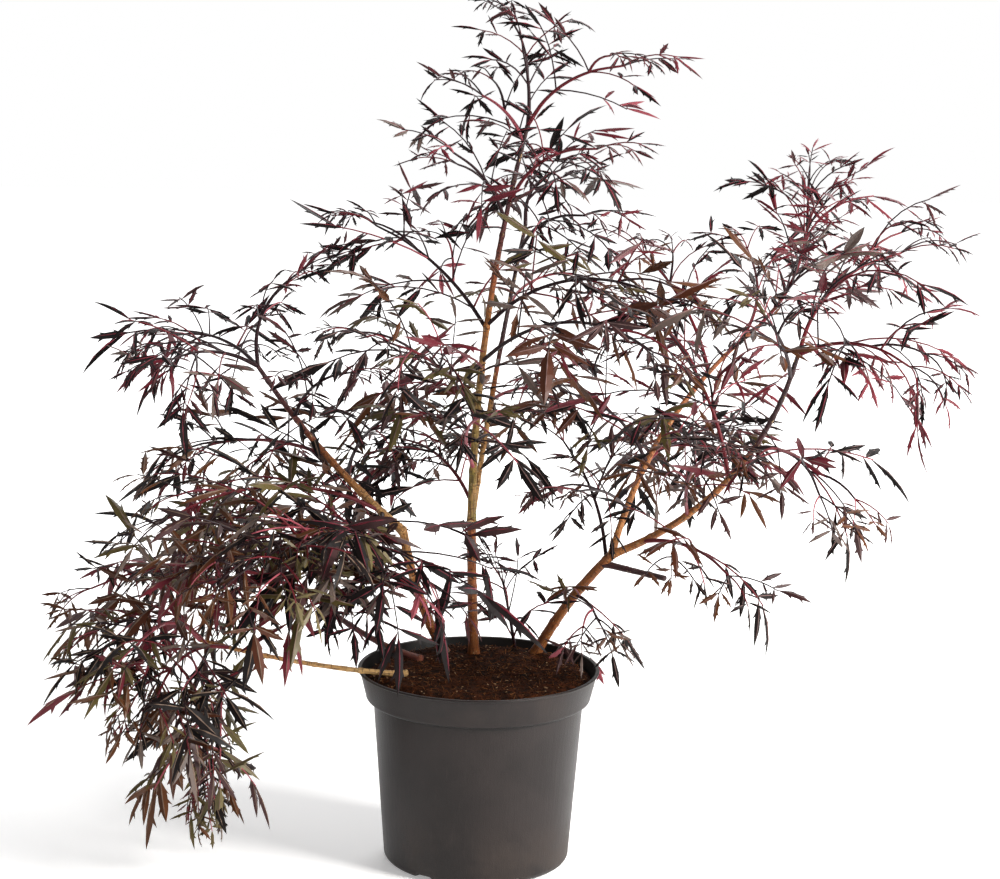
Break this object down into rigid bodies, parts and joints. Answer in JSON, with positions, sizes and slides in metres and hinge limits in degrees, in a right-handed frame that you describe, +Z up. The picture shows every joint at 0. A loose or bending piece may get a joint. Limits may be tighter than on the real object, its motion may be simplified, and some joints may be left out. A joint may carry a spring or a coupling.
{
  "type": "potted elder shrub",
  "caption": "Young multi-stemmed shrub with dark, finely cut compound leaves on arching shoots, growing in a round tapered plastic pot with a collar",
  "frame": {"origin": "centre of the pot's flat underside, where it rests on the ground", "axes": "+Z up the pot's axis, +X to the viewer's right in the picture along the crown's longest spread, -Y towards the viewer"},
  "size_m": [0.8827, 0.6235, 0.8221],
  "materials": {
    "pot_plastic": "smooth dark grey moulded plastic with a slight sheen",
    "compost": "damp, fibrous dark brown potting compost",
    "orange_bark": "orange-brown bark with pale raised pores",
    "ochre_bark": "pale ochre to olive bark",
    "crimson_bark": "smooth crimson to dark purple young bark",
    "purple_foliage": "blackish purple leaves with a faint grey sheen",
    "wine_foliage": "wine-red young leaves and crimson leaf stalks",
    "bronze_foliage": "olive-bronze older leaves"
  },
  "bodies": {
    "root": {"bough_left": "orange_bark", "bough_right_inner": "orange_bark", "bough_right_outer": "orange_bark", "bough_right_stub": "crimson_bark", "compost": "compost", "foliage_arch_left_high": "purple_foliage", "foliage_arch_left_mid": "purple_foliage", "foliage_arch_right_high": "purple_foliage", "foliage_arch_right_low": "bronze_foliage", "foliage_centre_back": "purple_foliage", "foliage_centre_front": "bronze_foliage", "foliage_centre_left": "purple_foliage", "foliage_centre_low": "bronze_foliage", "foliage_fork_droop": "purple_foliage", "foliage_fork_left": "purple_foliage", "foliage_fork_right": "purple_foliage", "foliage_leader_tip": "wine_foliage", "foliage_left_bow": "purple_foliage", "foliage_left_crest": "purple_foliage", "foliage_left_far": "bronze_foliage", "foliage_left_hanging": "bronze_foliage", "foliage_left_heart": "bronze_foliage", "foliage_left_inner_top": "wine_foliage", "foliage_left_lower": "purple_foliage", "foliage_left_rear": "purple_foliage", "foliage_left_red": "wine_foliage", "foliage_left_shoulder": "purple_foliage", "foliage_left_tip": "wine_foliage", "foliage_left_upright": "purple_foliage", "foliage_right_arch_low": "bronze_foliage", "foliage_right_crest": "purple_foliage", "foliage_right_heart": "bronze_foliage", "foliage_right_inner_low": "bronze_foliage", "foliage_right_left_spray": "purple_foliage", "foliage_right_low_droop": "purple_foliage", "foliage_right_outer_tip": "wine_foliage", "foliage_right_outer_up": "wine_foliage", "foliage_right_red": "wine_foliage", "foliage_right_shelf": "purple_foliage", "foliage_right_top": "wine_foliage", "foliage_second_side": "purple_foliage", "foliage_second_tip": "wine_foliage", "foliage_sprout": "purple_foliage", "foliage_stem_right_low": "bronze_foliage", "foliage_top_left": "purple_foliage", "foliage_top_right": "purple_foliage", "foliage_trailing_drop": "bronze_foliage", "foliage_trailing_outer": "purple_foliage", "foliage_trailing_tip": "wine_foliage", "foliage_upper_left": "purple_foliage", "foliage_upper_right": "purple_foliage", "leader": "orange_bark", "leader_second": "crimson_bark", "pot": "pot_plastic", "stem_centre": "orange_bark", "stem_left": "orange_bark", "stem_left_low": "crimson_bark", "stem_right": "orange_bark", "stem_trailing": "ochre_bark"}
  },
  "joints": []
}
